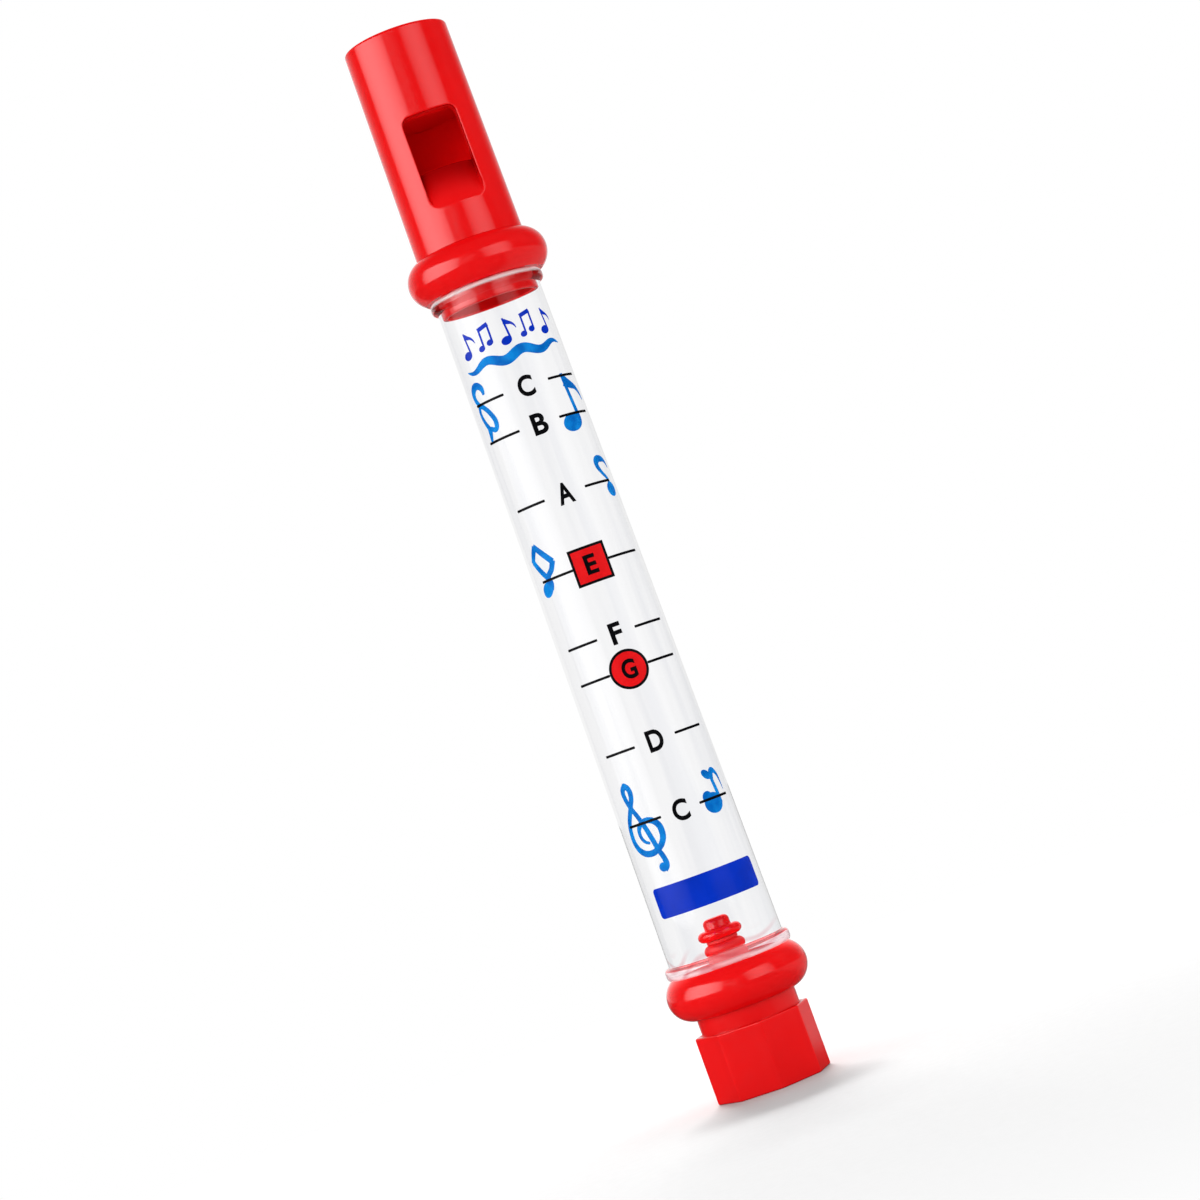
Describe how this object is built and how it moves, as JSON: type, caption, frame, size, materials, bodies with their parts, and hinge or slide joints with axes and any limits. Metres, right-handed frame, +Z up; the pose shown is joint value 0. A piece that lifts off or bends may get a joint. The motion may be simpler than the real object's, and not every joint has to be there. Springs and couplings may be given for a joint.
{
  "type": "bath flute",
  "caption": "Bath flute: a clear tube holds water to printed note lines, with a red whistle mouthpiece on top and an octagonal screw tap at the foot that drains it to tune.",
  "frame": {"origin": "centre of the flat foot of the octagonal tap knob, on the flute's axis", "axes": "+Z up the flute's axis towards the mouth end, -Y is the front that the window and the printed scale face, +X to the right seen from the front"},
  "size_m": [0.0266, 0.0266, 0.2029],
  "materials": {
    "red_plastic": "gloss",
    "clear_plastic": "clear, polished",
    "red_rubber": "soft",
    "silicone": "soft"
  },
  "bodies": {
    "flute_body": {"mouthpiece": "red_plastic", "fipple_block": "red_plastic", "upper_gasket": "silicone", "tube": "clear_plastic", "lower_gasket": "silicone", "end_collar": "red_plastic"},
    "valve": {"valve_stem": "red_plastic", "valve_seal": "red_rubber"},
    "knob": {"tap_knob": "red_plastic"}
  },
  "joints": [
    {"name": "valve_lift", "type": "slide", "parent": "flute_body", "child": "valve", "axis": [0, 0, 1], "range_m": [0, 0.002]},
    {"name": "knob_twist", "type": "hinge", "parent": "valve", "child": "knob", "pos_m": [0, 0, 0.004], "axis": [0, 0, 1], "range_deg": [0, 180]}
  ],
  "couplings": [
    {"joint": "valve_lift", "follows": "knob_twist", "m_per_rad": 0.00063662}
  ]
}
